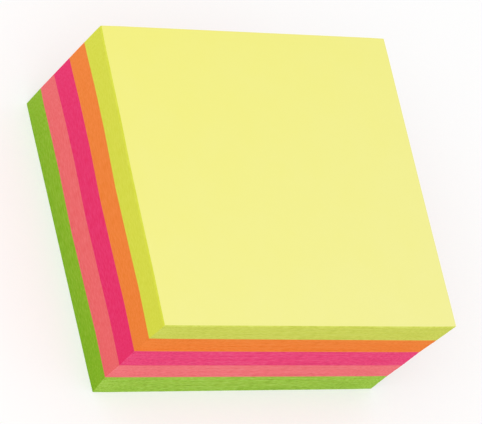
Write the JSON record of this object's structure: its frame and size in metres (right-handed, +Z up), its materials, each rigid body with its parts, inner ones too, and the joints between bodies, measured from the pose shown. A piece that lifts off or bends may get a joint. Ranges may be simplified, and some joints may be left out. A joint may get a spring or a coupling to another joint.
{
  "type": "sticky note pad",
  "caption": "Square block of sticky notes in layers of bright colours, bound by adhesive along one edge, for writing on and tearing off.",
  "frame": {"origin": "centre of the bottom note's underside", "axes": "+Z up through the stack of notes, +Y from the free edge to the bound edge, +X to the right along the free edge"},
  "size_m": [0.0759, 0.0769, 0.0404],
  "materials": {
    "green_paper": "uncoated bright green note paper, cut edges",
    "coral_paper": "uncoated fluorescent coral note paper, cut edges",
    "magenta_paper": "uncoated fluorescent magenta note paper, cut edges",
    "orange_paper": "uncoated fluorescent orange note paper, cut edges",
    "yellow_paper": "uncoated pale yellow note paper with a smooth writing face"
  },
  "bodies": {
    "root": {"green_pad": "green_paper", "coral_pad": "coral_paper", "magenta_pad": "magenta_paper", "orange_pad": "orange_paper", "yellow_pad": "yellow_paper"}
  },
  "joints": []
}
